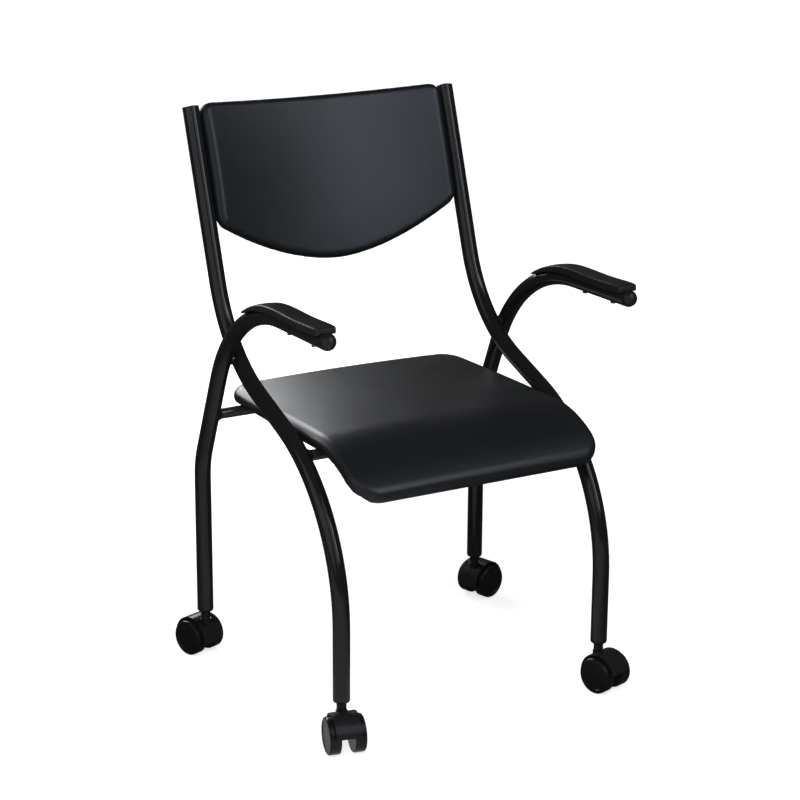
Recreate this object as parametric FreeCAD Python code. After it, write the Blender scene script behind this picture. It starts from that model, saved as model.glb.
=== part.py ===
"""Nesting chair: bent steel tube frame with arms, flip-up padded seat,
padded backrest and four hooded twin-wheel castors.

The chair faces -Y and +X is the sitter's left. The floor is Z = 0, and the
origin lies midway between the four castor stems. All lengths are millimetres.
"""
import FreeCAD
import Part
import math
import os

# Frame tubes
tube_radius = 12.5
tube_wall = 1.5
inner_tube_x = 220.0
tube_side_gap = 0.5
outer_tube_x = inner_tube_x + 2.0 * tube_radius + tube_side_gap
foot_reach = 200.0
leg_end_height = 71.0

# Back upright and front leg, bent from one inner tube
upright_top_y = 272.7
upright_top_height = 846.5
upright_foot_y = 154.6
upright_foot_height = 494.9
upright_bend_radius = 225.0
knee_height = 364.9
knee_bend_radius = 265.0

# Arm and rear leg, bent from one outer tube
arm_front_y = -209.0
arm_front_height = 604.7
arm_corner_y = 78.0
arm_corner_height = 600.6
arm_bend_radius = 230.0
rear_knee_height = 315.2
rear_knee_radius = 117.0

# Cross rails and welds
rail_radius = 8.0
rail_wall = 1.5
rear_rail_height = 399.2
weld_radius = 8.0
bead_radius = 2.2
bead_toe = 0.2

# Plugs in the tube ends
plug_clearance = 0.1
plug_length = 15.0
cap_dome_height = 2.5

# Arm pads
pad_half_width = 16.5
pad_top = 19.0
pad_side_bottom = 8.0
pad_rear_top = 13.6
pad_rear_narrowing = 2.0
pad_crown = 0.8
pad_taper_length = 100.0
pad_length = 234.0
pad_front_overlap = 0.5
pad_edge_radius = 2.5
pad_nose_length = 10.0
pad_groove_gap = 0.2
pad_screw_radius = 2.0
pad_screw_head_radius = 4.0
pad_screw_head_height = 2.4
pad_screw_bite = 4.5
pad_screw_setbacks = (38.0, 110.0)

# Seat
seat_slope = math.radians(0.86)
seat_rear_overhang = 46.5
seat_flat_length = 306.0
seat_front_radius = 157.0
seat_front_turn = math.radians(48.5)
seat_thickness = 23.0
seat_rear_half_width = 201.0
seat_front_half_width = 205.5
seat_rear_corner = 42.0
seat_front_corner = 44.0
seat_low_edge = 7.5
seat_top_edge = 14.5
seat_crown = 3.0
seat_board_thickness = 10.0
seat_board_inset = 9.0
board_edge_radius = 1.5
board_fit_gap = 0.3
least_bow = 0.2

# Seat hinge on the rear rail, and rests on the front rail
hinge_clip_x = 150.0
hinge_clip_width = 34.0
hinge_clip_length = 62.0
hinge_clip_flange = 5.0
hinge_clip_wall = 4.0
hinge_clearance = 0.06
rail_to_board_gap = 0.3
rest_x = 150.0
rest_width = 30.0
rest_length = 40.0
rest_thickness = 2.3
rest_hug = 4.0
rest_gap = 0.3
rest_screw_setback = 14.5

# Seat screws
seat_screw_radius = 2.4
seat_screw_head_radius = 4.6
seat_screw_head_height = 2.2
seat_screw_bite = 7.5
hinge_screw_pitch = 46.0
screw_clearance = 0.15

# Backrest
back_half_width = 206.6
back_top = 4.5
back_centre_drop = 248.2
back_side_drop = 179.0
back_smile_power = 1.8
back_sag = 26.0
back_forward = 4.4
back_thickness = 20.0
back_rear_edge = 7.0
back_front_edge = 12.0
back_top_corner = 15.0
back_low_corner = 12.0
back_crown = 3.0
back_board_thickness = 8.0
back_board_inset = 9.0

# Backrest tabs, screws and tee nuts
tab_drops = (48.0, 138.0)
tab_height = 32.0
tab_thickness = 3.0
tab_inner_x = 176.0
back_screw_x = 189.0
back_screw_radius = 3.0
back_screw_head_radius = 5.5
back_screw_head_height = 3.2
tee_nut_flange_radius = 9.0
tee_nut_flange_thickness = 1.2
tee_nut_barrel_radius = 4.0
tee_nut_barrel_length = 6.5
tee_nut_hole_overrun = 2.0

# Castor sockets and castors
cut_margin = 1.0
socket_flange_height = 5.0
socket_edge_radius = 3.5
socket_length = 34.0
socket_bore_overrun = 2.0
stem_radius = 5.5
stem_clearance = 0.06
stem_engagement = 28.0
stem_tip_chamfer = 1.2
stem_end_gap = 0.5
neck_radius = 7.2
neck_chamfer = 1.2
neck_gap = 0.4
wheel_radius = 27.5
wheel_inner_face = 10.0
wheel_inner_chamfer = 1.0
wheel_outer_face = 27.2
wheel_edge_radius = 3.0
wheel_face_radius = 21.5
wheel_face_step = 0.8
castor_trail = 15.0
axle_radius = 3.0
axle_clearance = 0.06
axle_half_length = 21.0
axle_end_gap = 0.5
hood_gap = 2.5
hood_wall = 2.4
hood_half_width = 19.0
hood_web_half_width = 9.3
hood_hub_radius = 9.0
hood_boss_radius = 8.5
hood_boss_drop = 2.0
hood_low_angle = 190.0
hood_tail_angle = 12.0
hood_stem_depth = 24.0

# Swivel angle of each castor as photographed: degrees about +Z from straight
# trailing to the rear, and the side and end of the chair where it stands
castor_places = {
    "front_right": (-1, -1, 166.7),
    "rear_right": (-1, 1, 18.8),
    "front_left": (1, -1, 195.3),
    "rear_left": (1, 1, -72.7),
}

os.makedirs("parts", exist_ok=True)


def vec(x, y, z):
    return FreeCAD.Vector(x, y, z)


def rod(start, end, radius):
    axis = end - start
    return Part.makeCylinder(radius, axis.Length, start, axis)


def save(name, shape):
    shape.exportStep("parts/" + name + ".step")


def group(solids):
    return Part.makeCompound(solids)


def biggest_solid(shape):
    return max(shape.Solids, key=lambda solid: solid.Volume)


def mirrored(shape):
    return shape.mirror(vec(0, 0, 0), vec(1, 0, 0))


# Bent centre lines in the YZ plane

def bent_line(corners, radii):
    """Straight and arc pieces through the corners, as edges at x = 0."""
    points = [vec(0, y, z) for y, z in corners]
    edges = []
    here = points[0]
    for before, corner, after, radius in zip(points, points[1:], points[2:], radii):
        incoming = (corner - before).normalize()
        outgoing = (after - corner).normalize()
        turn = incoming.getAngle(outgoing)
        reach = radius * math.tan(turn / 2.0)
        arc_start = corner - incoming * reach
        arc_end = corner + outgoing * reach
        inward = (outgoing - incoming).normalize()
        arc_middle = corner + inward * (radius / math.cos(turn / 2.0) - radius)
        edges.append(Part.LineSegment(here, arc_start).toShape())
        edges.append(Part.Arc(arc_start, arc_middle, arc_end).toShape())
        here = arc_end
    edges.append(Part.LineSegment(here, points[-1]).toShape())
    return edges


def place_on(edges, distance):
    """Point and direction at a distance along the edges."""
    for edge in edges:
        if distance <= edge.Length or edge is edges[-1]:
            parameter = edge.getParameterByLength(min(distance, edge.Length))
            return edge.valueAt(parameter), edge.tangentAt(parameter)
        distance -= edge.Length


def line_y_at_height(edges, height):
    """Where the centre line passes a height, as a y coordinate."""
    reach = 2.0 * upright_top_height
    level = Part.LineSegment(vec(0, -reach, height), vec(0, reach, height)).toShape()
    return Part.Wire(edges).distToShape(level)[1][0][0].y


def swept_rod(edges, radius):
    """Round bar along the edges."""
    start, direction = place_on(edges, 0.0)
    circle = Part.Wire(Part.makeCircle(radius, start, direction))
    return Part.Wire(edges).makePipeShell([circle], True, False)


def bent_tube(edges, x):
    outside = swept_rod(edges, tube_radius)
    inside = swept_rod(edges, tube_radius - tube_wall)
    tube = outside.cut(inside)
    tube.translate(vec(x, 0, 0))
    return tube


# Padded forms: a loft through sections that share one set of edges

def pad_section(middle, across, normal, half_width, low, high, low_radius, high_radius, crown):
    """Closed rounded section, from low to high along the normal."""
    def at(u, n):
        return middle + across * u + normal * n

    def corner(u, n, radius, u_sign, n_sign):
        diagonal = radius * (1.0 - math.sqrt(0.5))
        flat = at(u - u_sign * radius, n)
        bend = at(u - u_sign * diagonal, n - n_sign * diagonal)
        side = at(u, n - n_sign * radius)
        return flat, bend, side

    low_right = corner(half_width, low, low_radius, 1, -1)
    high_right = corner(half_width, high, high_radius, 1, 1)
    low_left = corner(-half_width, low, low_radius, -1, -1)
    high_left = corner(-half_width, high, high_radius, -1, 1)
    edges = [
        Part.LineSegment(low_left[0], low_right[0]),
        Part.Arc(*low_right),
        Part.LineSegment(low_right[2], high_right[2]),
        Part.Arc(high_right[2], high_right[1], high_right[0]),
        Part.Arc(high_right[0], at(0, high + crown), high_left[0]),
        Part.Arc(*high_left),
        Part.LineSegment(high_left[2], low_left[2]),
        Part.Arc(low_left[2], low_left[1], low_left[0]),
    ]
    return Part.Wire([edge.toShape() for edge in edges])


def rounded_inset(distance, radius):
    """How far a round edge of that radius has drawn in at a distance from its end."""
    if distance >= radius:
        return 0.0
    return radius - math.sqrt(radius ** 2 - (radius - distance) ** 2)


def end_steps(radius):
    """Stations near a rounded end: dense at the tip, last one where the round ends."""
    return [share * radius for share in (0.02, 0.08, 0.2, 0.4, 0.65, 1.0)]


# Frame

inner_line = bent_line(
    [(upright_top_y, upright_top_height), (upright_foot_y, upright_foot_height),
     (-foot_reach, knee_height), (-foot_reach, leg_end_height + socket_flange_height)],
    [upright_bend_radius, knee_bend_radius])
outer_line = bent_line(
    [(arm_front_y, arm_front_height), (arm_corner_y, arm_corner_height),
     (foot_reach, rear_knee_height), (foot_reach, leg_end_height + socket_flange_height)],
    [arm_bend_radius, rear_knee_radius])

inner_tube = bent_tube(inner_line, inner_tube_x)
outer_tube = bent_tube(outer_line, outer_tube_x)
inner_bar = swept_rod(inner_line, tube_radius)
inner_bar.translate(vec(inner_tube_x, 0, 0))
outer_bar = swept_rod(outer_line, tube_radius)
outer_bar.translate(vec(outer_tube_x, 0, 0))

rear_rail_y = line_y_at_height(outer_line, rear_rail_height)


# Seat path: the seat's underside, by the distance along it from the rear edge

seat_length = seat_flat_length + seat_front_radius * seat_front_turn
seat_origin = vec(0, rear_rail_y, rear_rail_height + rail_radius + rail_to_board_gap)


def seat_frame(distance):
    """Point on the seat's underside, its forward direction and its upward normal."""
    forward = vec(0, -math.cos(seat_slope), math.sin(seat_slope))
    upward = vec(0, math.sin(seat_slope), math.cos(seat_slope))
    if distance <= seat_flat_length:
        return seat_origin + forward * (distance - seat_rear_overhang), forward, upward
    turn = (distance - seat_flat_length) / seat_front_radius
    bend_start = seat_origin + forward * (seat_flat_length - seat_rear_overhang)
    centre = bend_start - upward * seat_front_radius
    normal = upward * math.cos(turn) + forward * math.sin(turn)
    ahead = forward * math.cos(turn) - upward * math.sin(turn)
    return centre + normal * seat_front_radius, ahead, normal


def below_seat(distance, drop):
    point, ahead, normal = seat_frame(distance)
    return point - normal * drop


def front_rail_place():
    """Where a rail under the seat's rests meets the inner tubes."""
    drop = rail_radius + rest_thickness
    bend_start = below_seat(seat_flat_length, drop)
    bend_middle = below_seat((seat_flat_length + seat_length) / 2.0, drop)
    support = Part.Wire([
        Part.LineSegment(below_seat(0.0, drop), bend_start).toShape(),
        Part.Arc(bend_start, bend_middle, below_seat(seat_length, drop)).toShape()])
    return Part.Wire(inner_line).distToShape(support)[1][0][0]


# Cross rails and welds

front_rail_middle = front_rail_place()
rear_rail_middle = vec(0, rear_rail_y, rear_rail_height)


def rail_bar(middle, half_length, radius):
    across = vec(half_length, 0, 0)
    return rod(middle - across, middle + across, radius)


def cross_rail(middle, half_length, bar):
    """Round rail between the two tubes of one kind, with its weld beads."""
    solid_rail = rail_bar(middle, half_length, rail_radius)
    rail = solid_rail.cut(rail_bar(middle, half_length, rail_radius - rail_wall))
    rail = biggest_solid(rail.cut(bar).cut(mirrored(bar)))
    toe = middle + vec(half_length - tube_radius - bead_radius, 0, 0)
    bead = Part.makeCone(
        rail_radius + bead_toe, rail_radius + bead_radius, 2.0 * bead_radius, toe, vec(1, 0, 0))
    bead = biggest_solid(bead.cut(bar).cut(solid_rail))
    return rail, [bead, mirrored(bead)]


front_rail, front_beads = cross_rail(front_rail_middle, inner_tube_x, inner_bar)
rear_rail, rear_beads = cross_rail(rear_rail_middle, outer_tube_x, outer_bar)
save("front_rail", front_rail)
save("rear_rail", rear_rail)
save("rail_welds", group(front_beads + rear_beads))

crossing = Part.Wire(inner_line).distToShape(Part.Wire(outer_line))[1][0][0]
weld = rod(vec(inner_tube_x, crossing.y, crossing.z), vec(outer_tube_x, crossing.y, crossing.z), weld_radius)
weld = biggest_solid(weld.cut(inner_bar).cut(outer_bar))
save("crossing_welds", group([weld, mirrored(weld)]))


def end_plug(edges, x, dome_height):
    """Domed plug in the first end of a tube."""
    end, direction = place_on(edges, 0.0)
    outward = direction * -1.0
    side = outward.cross(vec(1, 0, 0))
    plug_radius = tube_radius - tube_wall - plug_clearance
    dome_radius = (tube_radius ** 2 + dome_height ** 2) / (2.0 * dome_height)
    middle_turn = math.atan2(tube_radius, dome_radius - dome_height) / 2.0

    def at(along, out):
        return end + outward * along + side * out

    dome_middle = at(
        dome_height - dome_radius * (1.0 - math.cos(middle_turn)), dome_radius * math.sin(middle_turn))
    outline = [
        Part.Arc(at(dome_height, 0), dome_middle, at(0, tube_radius)),
        Part.LineSegment(at(0, tube_radius), at(0, plug_radius)),
        Part.LineSegment(at(0, plug_radius), at(-plug_length, plug_radius)),
        Part.LineSegment(at(-plug_length, plug_radius), at(-plug_length, 0)),
        Part.LineSegment(at(-plug_length, 0), at(dome_height, 0)),
    ]
    face = Part.Face(Part.Wire([edge.toShape() for edge in outline]))
    plug = face.revolve(end, outward, 360)
    plug.translate(vec(x, 0, 0))
    return plug


upright_cap = end_plug(inner_line, inner_tube_x, cap_dome_height)
arm_ball = end_plug(outer_line, outer_tube_x, tube_radius)
save("upright_cap_left", upright_cap)
save("upright_cap_right", mirrored(upright_cap))
save("arm_ball_left", arm_ball)
save("arm_ball_right", mirrored(arm_ball))


# Arm pads

def pad_stations():
    """Distance along the arm, half width, low and high of each pad section."""
    rear = pad_length - pad_front_overlap
    stations = []
    for step in (0.0, 0.12, 0.35, 0.65, 1.0):
        nose = step * pad_nose_length
        draw = pad_nose_length * (1.0 - math.sqrt(1.0 - (1.0 - step) ** 2))
        low = pad_side_bottom + 0.4 * draw
        high = pad_top - 0.25 * draw
        stations.append((pad_front_overlap + nose, pad_half_width - 0.45 * draw, low, high))
    taper_start = rear - pad_taper_length
    for share in (0.0, 0.4, 0.75, 1.0):
        high = pad_top + (pad_rear_top - pad_top) * share ** 2
        low = pad_side_bottom + (pad_rear_top - pad_top) * -0.4 * share ** 2
        half_width = pad_half_width - pad_rear_narrowing * share ** 2
        stations.append((taper_start + share * pad_taper_length, half_width, low, high))
    return stations


def arm_pad():
    """Grip pad that follows the arm tube, with a groove for the tube."""
    sections = []
    for distance, half_width, low, high in pad_stations():
        middle, direction = place_on(outer_line, distance)
        normal = direction.cross(vec(1, 0, 0))
        if normal.z < 0:
            normal = normal * -1.0
        edge = min(pad_edge_radius, (high - low) / 2.5)
        sections.append(pad_section(
            middle, vec(1, 0, 0), normal, half_width, low, high, 0.5 * edge, edge, pad_crown))
    pad = Part.makeLoft(sections, True, False)
    groove = swept_rod(outer_line, tube_radius + pad_groove_gap)
    pad = biggest_solid(pad.cut(groove))
    pad.translate(vec(outer_tube_x, 0, 0))
    return pad


def arm_pad_screws():
    """Screws that pass up through the arm tube into the pad, and their holes."""
    screws = []
    holes = []
    for setback in pad_screw_setbacks:
        middle, direction = place_on(outer_line, setback)
        up = direction.cross(vec(1, 0, 0))
        if up.z < 0:
            up = up * -1.0
        middle = middle + vec(outer_tube_x, 0, 0)
        under = middle - up * tube_radius
        tip = middle + up * (tube_radius + pad_groove_gap + pad_screw_bite)
        head = rod(under - up * pad_screw_head_height, under, pad_screw_head_radius)
        screws.append(head.fuse(rod(under, tip, pad_screw_radius)).removeSplitter())
        holes.append(rod(under - up, tip + up * screw_clearance, pad_screw_radius + screw_clearance))
    return screws, holes


pad = arm_pad()
pad_screws, pad_holes = arm_pad_screws()
for hole in pad_holes:
    pad = pad.cut(hole)
    outer_tube = outer_tube.cut(hole)
save("arm_pad_left", pad)
save("arm_pad_right", mirrored(pad))
save("arm_pad_screws", group(pad_screws + [mirrored(screw) for screw in pad_screws]))
save("arm_leg_tube_left", outer_tube)
save("arm_leg_tube_right", mirrored(outer_tube))
save("back_leg_tube_left", inner_tube)
save("back_leg_tube_right", mirrored(inner_tube))


# Seat

def seat_half_width(distance):
    """Half width of the seat's outline, without its rounded corners."""
    share = min(1.0, 2.0 * distance / seat_length)
    bulge = math.sin(share * math.pi / 2.0)
    return seat_rear_half_width + (seat_front_half_width - seat_rear_half_width) * bulge


def seat_sections(inset, low, high, low_radius, high_radius, crown):
    """Sections from the rear edge to the front edge."""
    rear_steps = [inset + step for step in end_steps(seat_rear_corner - inset)]
    front_steps = [seat_length - inset - step for step in end_steps(seat_front_corner - inset)]
    first = rear_steps[-1]
    last = front_steps[-1]
    between = [first + (last - first) * share for share in (0.2, 0.4, 0.6, 0.75, 0.88)]
    sections = []
    for distance in rear_steps + between + front_steps[::-1]:
        from_rear = distance - inset
        from_front = seat_length - inset - distance
        draw = (rounded_inset(from_rear, seat_rear_corner - inset)
                + rounded_inset(from_front, seat_front_corner - inset))
        from_end = min(from_rear, from_front)
        lift = rounded_inset(from_end, low_radius)
        drop = rounded_inset(from_end, high_radius)
        point, ahead, normal = seat_frame(distance)
        sections.append(pad_section(
            point, vec(1, 0, 0), normal, seat_half_width(distance) - inset - draw,
            low + lift, high - drop, low_radius - lift, high_radius - drop,
            crown * (1.0 - drop / high_radius) + least_bow))
    return sections


def seat_loft(*size):
    return Part.makeLoft(seat_sections(*size), True, False)


seat_board = seat_loft(seat_board_inset, 0.0, seat_board_thickness, board_edge_radius, board_edge_radius, 0.0)
board_recess = seat_loft(
    seat_board_inset - board_fit_gap, -seat_thickness, seat_board_thickness + board_fit_gap,
    board_edge_radius, board_edge_radius, 0.0)
seat_cushion = seat_loft(0.0, 0.0, seat_thickness, seat_low_edge, seat_top_edge, seat_crown)
seat_cushion = biggest_solid(seat_cushion.cut(board_recess))


# Seat hinge clips, rests and screws

def hinge_block():
    """Moulded block under the seat board: a flange, and a deeper middle for the bore."""
    boss_length = 2.0 * (rail_radius + hinge_clearance + hinge_clip_wall)
    depth = rail_to_board_gap + 2.0 * rail_radius + hinge_clearance + hinge_clip_wall
    corner = vec(-hinge_clip_width / 2.0, -hinge_clip_length / 2.0, -hinge_clip_flange)
    plate = Part.makeBox(hinge_clip_width, hinge_clip_length, hinge_clip_flange, corner)
    boss = Part.makeBox(
        hinge_clip_width, boss_length, depth, vec(-hinge_clip_width / 2.0, -boss_length / 2.0, -depth))
    block = plate.fuse(boss).removeSplitter()
    block.rotate(vec(0, 0, 0), vec(1, 0, 0), -math.degrees(seat_slope))
    block.translate(seat_origin + vec(hinge_clip_x, 0, 0))
    return block


def seat_screw(under, upward, length):
    """Screw up into the seat board, and the hole it needs."""
    tip = under + upward * length
    head = rod(under - upward * seat_screw_head_height, under, seat_screw_head_radius)
    screw = head.fuse(rod(under, tip, seat_screw_radius)).removeSplitter()
    hole = rod(under, tip + upward * screw_clearance, seat_screw_radius + screw_clearance)
    return screw, hole


hinge_bore = rail_bar(rear_rail_middle, outer_tube_x, rail_radius + hinge_clearance)
hinge_clip = biggest_solid(hinge_block().cut(hinge_bore))

rest_bottom = front_rail_middle.z + rail_radius - rest_hug
rest_corner = vec(rest_x - rest_width / 2.0, front_rail_middle.y - rest_length / 2.0, rest_bottom)
rest_block = Part.makeBox(rest_width, rest_length, 2.0 * seat_thickness, rest_corner).cut(seat_board)
front_rest = min(rest_block.Solids, key=lambda solid: solid.CenterOfMass.z)
rest_groove = rail_bar(front_rail_middle, inner_tube_x, rail_radius + rest_gap)
front_rest = biggest_solid(front_rest.cut(rest_groove))

seat_screws = []
for distance in (seat_rear_overhang - hinge_screw_pitch / 2.0, seat_rear_overhang + hinge_screw_pitch / 2.0):
    point, ahead, upward = seat_frame(distance)
    screw_start = point + vec(hinge_clip_x, 0, 0) - upward * hinge_clip_flange
    screw, hole = seat_screw(screw_start, upward, hinge_clip_flange + seat_screw_bite)
    hinge_clip = hinge_clip.cut(hole)
    seat_board = seat_board.cut(hole).cut(mirrored(hole))
    seat_screws += [screw, mirrored(screw)]
for setback in (-rest_screw_setback, rest_screw_setback):
    screw_start = vec(rest_x, front_rail_middle.y + setback, rest_bottom)
    shaft = rod(screw_start, screw_start + vec(0, 0, seat_thickness), seat_screw_radius)
    rest_depth = front_rest.common(shaft).Volume / (math.pi * seat_screw_radius ** 2)
    screw, hole = seat_screw(screw_start, vec(0, 0, 1), rest_depth + seat_screw_bite)
    front_rest = front_rest.cut(hole)
    seat_board = seat_board.cut(hole).cut(mirrored(hole))
    seat_screws += [screw, mirrored(screw)]

save("seat_board", biggest_solid(seat_board))
save("seat_cushion", seat_cushion)
save("seat_hinge_clip_left", hinge_clip)
save("seat_hinge_clip_right", mirrored(hinge_clip))
save("seat_rest_left", front_rest)
save("seat_rest_right", mirrored(front_rest))
save("seat_screws", group(seat_screws))


# Backrest, in a frame that leans with the uprights: z up along them from
# their top, y to the rear, and x across

back_lean = math.atan2(upright_top_y - upright_foot_y, upright_top_height - upright_foot_height)
back_bend_radius = (back_half_width ** 2 + back_sag ** 2) / (2.0 * back_sag)
back_bend_centre_y = back_sag - back_forward - back_bend_radius


def lean_back(shape):
    shape.rotate(vec(0, 0, 0), vec(1, 0, 0), -math.degrees(back_lean))
    shape.translate(vec(0, upright_top_y, upright_top_height))
    return shape


def back_frame(x):
    """Middle of the panel at x, and its normal towards the sitter."""
    turn = math.asin(x / back_bend_radius)
    normal = vec(-math.sin(turn), -math.cos(turn), 0)
    point = vec(x, back_bend_centre_y + back_bend_radius * math.cos(turn), 0)
    return point, normal


def back_sections(inset, low, high, low_radius, high_radius, crown):
    """Upright sections from the right edge to the left edge."""
    half = back_half_width - inset
    side_steps = end_steps(2.0 * back_front_edge)
    outer_places = [half - step for step in side_steps]
    inner_places = [0.8 * half, 0.68 * half, 0.5 * half, 0.3 * half, 0.1 * half]
    places = [x for x in outer_places if x > inner_places[0]] + inner_places
    sections = []
    for x in [-place for place in places] + places[::-1]:
        from_side = half - abs(x)
        smile = (abs(x) / back_half_width) ** back_smile_power
        bottom = -(back_centre_drop - (back_centre_drop - back_side_drop) * smile) + inset
        bottom += rounded_inset(from_side, back_low_corner)
        top = back_top - inset - rounded_inset(from_side, back_top_corner)
        lift = rounded_inset(from_side, low_radius)
        drop = rounded_inset(from_side, high_radius)
        point, normal = back_frame(x)
        middle = point + vec(0, 0, (top + bottom) / 2.0)
        sections.append(pad_section(
            middle, vec(0, 0, 1), normal, (top - bottom) / 2.0,
            low + lift, high - drop, low_radius - lift, high_radius - drop,
            crown * (1.0 - drop / high_radius) + least_bow))
    return sections


def back_loft(*size):
    return Part.makeLoft(back_sections(*size), True, False)


back_rear_face = -back_thickness / 2.0
back_board_front = back_rear_face + back_board_thickness
backrest_board = back_loft(
    back_board_inset, back_rear_face, back_board_front, board_edge_radius, board_edge_radius, 0.0)
back_recess = back_loft(
    back_board_inset - board_fit_gap, back_rear_face - back_thickness, back_board_front + board_fit_gap,
    board_edge_radius, board_edge_radius, 0.0)
backrest_cushion = back_loft(
    0.0, back_rear_face, back_thickness / 2.0, back_rear_edge, back_front_edge, back_crown)
backrest_cushion = backrest_cushion.cut(back_recess)

upright_in_back_frame = rod(vec(inner_tube_x, 0, -2.0 * back_centre_drop), vec(inner_tube_x, 0, 0), tube_radius)
tabs = []
back_screws = []
tee_nuts = []
for drop in tab_drops:
    point, normal = back_frame(back_screw_x)
    rear_point = point + normal * back_rear_face + vec(0, 0, -drop)
    front_point = point + normal * back_board_front + vec(0, 0, -drop)
    tab_face = rear_point - normal * tab_thickness
    tab_turn = math.degrees(math.asin(back_screw_x / back_bend_radius))
    tab = Part.makeBox(
        outer_tube_x - tab_inner_x, tab_thickness, tab_height,
        vec(tab_inner_x - back_screw_x, 0, -tab_height / 2.0))
    tab.rotate(vec(0, 0, 0), vec(0, 0, 1), -tab_turn)
    tab.translate(rear_point)
    tab = tab.cut(upright_in_back_frame)
    tab = min(tab.Solids, key=lambda solid: solid.CenterOfMass.x)
    hole_end = front_point + normal * tee_nut_hole_overrun
    shank_hole = rod(tab_face - normal, hole_end, back_screw_radius + screw_clearance)
    barrel_hole = rod(rear_point, hole_end, tee_nut_barrel_radius + screw_clearance)
    head = rod(tab_face - normal * back_screw_head_height, tab_face, back_screw_head_radius)
    screw = head.fuse(rod(tab_face, front_point, back_screw_radius)).removeSplitter()
    flange = rod(front_point, front_point + normal * tee_nut_flange_thickness, tee_nut_flange_radius)
    barrel = rod(front_point - normal * tee_nut_barrel_length, front_point, tee_nut_barrel_radius)
    tee_nut = flange.fuse(barrel).removeSplitter().cut(shank_hole)
    tee_nut.translate(normal * board_fit_gap)
    pocket = rod(
        front_point - normal, front_point + normal * (tee_nut_flange_thickness + 2.0 * board_fit_gap),
        tee_nut_flange_radius + board_fit_gap)
    tab = tab.cut(shank_hole)
    backrest_board = backrest_board.cut(barrel_hole).cut(mirrored(barrel_hole))
    backrest_cushion = backrest_cushion.cut(pocket).cut(mirrored(pocket))
    tabs += [tab, mirrored(tab)]
    back_screws += [screw, mirrored(screw)]
    tee_nuts += [tee_nut, mirrored(tee_nut)]

save("backrest_board", lean_back(biggest_solid(backrest_board)))
save("backrest_cushion", lean_back(biggest_solid(backrest_cushion)))
save("backrest_tabs", lean_back(group(tabs)))
save("backrest_screws", lean_back(group(back_screws)))
save("backrest_tee_nuts", lean_back(group(tee_nuts)))


# Castor sockets and castors, in a frame with the stem at the origin, the
# axle along x and the wheels trailing towards +y

def castor_socket():
    """Plug in the end of the leg, bored for the castor stem."""
    flange = Part.makeCylinder(tube_radius, socket_flange_height, vec(0, 0, leg_end_height))
    middle = leg_end_height + socket_flange_height / 2.0
    lower_rim = [edge for edge in flange.Edges if edge.Closed and edge.CenterOfMass.z < middle]
    flange = flange.makeFillet(socket_edge_radius, lower_rim)
    plug = Part.makeCylinder(
        tube_radius - tube_wall - plug_clearance, socket_length,
        vec(0, 0, leg_end_height + socket_flange_height))
    bore = Part.makeCylinder(
        stem_radius + stem_clearance, stem_engagement + socket_bore_overrun, vec(0, 0, leg_end_height))
    return flange.fuse(plug).removeSplitter().cut(bore)


hood_inner_radius = wheel_radius + hood_gap
hood_outer_radius = hood_inner_radius + hood_wall
hood_top = wheel_radius + hood_outer_radius
boss_top = hood_top - hood_boss_drop
stem_bottom = boss_top - hood_stem_depth
axle_centre = vec(0, castor_trail, wheel_radius)


def castor_stem():
    """Stem with the neck that shows below the socket."""
    stem = Part.makeCylinder(
        stem_radius, leg_end_height + stem_engagement - stem_bottom, vec(0, 0, stem_bottom))
    neck = Part.makeCylinder(neck_radius, leg_end_height - neck_gap - boss_top, vec(0, 0, boss_top))
    neck = neck.makeChamfer(neck_chamfer, [edge for edge in neck.Edges if edge.CenterOfMass.z > hood_top])
    tip = [edge for edge in stem.Edges if edge.Closed and edge.CenterOfMass.z > leg_end_height]
    stem = stem.makeChamfer(stem_tip_chamfer, tip)
    return stem.fuse(neck).removeSplitter()


def sector(radius, half_width, start_angle, end_angle):
    """Solid sector about the axle, angles from +y over the top."""
    steps = 3
    angles = [math.radians(start_angle + (end_angle - start_angle) * i / steps) for i in range(steps + 1)]

    def rim(angle):
        return axle_centre + vec(-half_width, radius * math.cos(angle), radius * math.sin(angle))

    hub = axle_centre + vec(-half_width, 0, 0)
    edges = [Part.LineSegment(hub, rim(angles[0])).toShape()]
    for low, high in zip(angles, angles[1:]):
        edges.append(Part.Arc(rim(low), rim((low + high) / 2.0), rim(high)).toShape())
    edges.append(Part.LineSegment(rim(angles[-1]), hub).toShape())
    return Part.Face(Part.Wire(edges)).extrude(vec(2.0 * half_width, 0, 0))


def axle_rod(half_length, radius):
    return rod(axle_centre - vec(half_length, 0, 0), axle_centre + vec(half_length, 0, 0), radius)


def castor_hood():
    """Curved cover over the inner half of both wheels, with the web between them."""
    cover = sector(hood_outer_radius, hood_half_width, hood_tail_angle, hood_low_angle)
    hollow = axle_rod(hood_half_width + cut_margin, hood_inner_radius)
    web = sector(hood_inner_radius + hood_wall / 2.0, hood_web_half_width, hood_tail_angle, hood_low_angle)
    hub = axle_rod(hood_web_half_width, hood_hub_radius)
    boss = Part.makeCylinder(hood_boss_radius, boss_top - wheel_radius, vec(0, 0, wheel_radius))
    hood = cover.cut(hollow).fuse([web, hub, boss]).removeSplitter()
    neck_seat = Part.makeCylinder(neck_radius + stem_clearance, hood_outer_radius, vec(0, 0, boss_top))
    stem_hole = Part.makeCylinder(
        stem_radius + stem_clearance, hood_stem_depth + stem_end_gap + cut_margin,
        vec(0, 0, stem_bottom - stem_end_gap))
    axle_hole = axle_rod(hood_half_width, axle_radius + axle_clearance)
    return biggest_solid(hood.cut(neck_seat).cut(stem_hole).cut(axle_hole))


def castor_axle():
    return axle_rod(axle_half_length, axle_radius)


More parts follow.
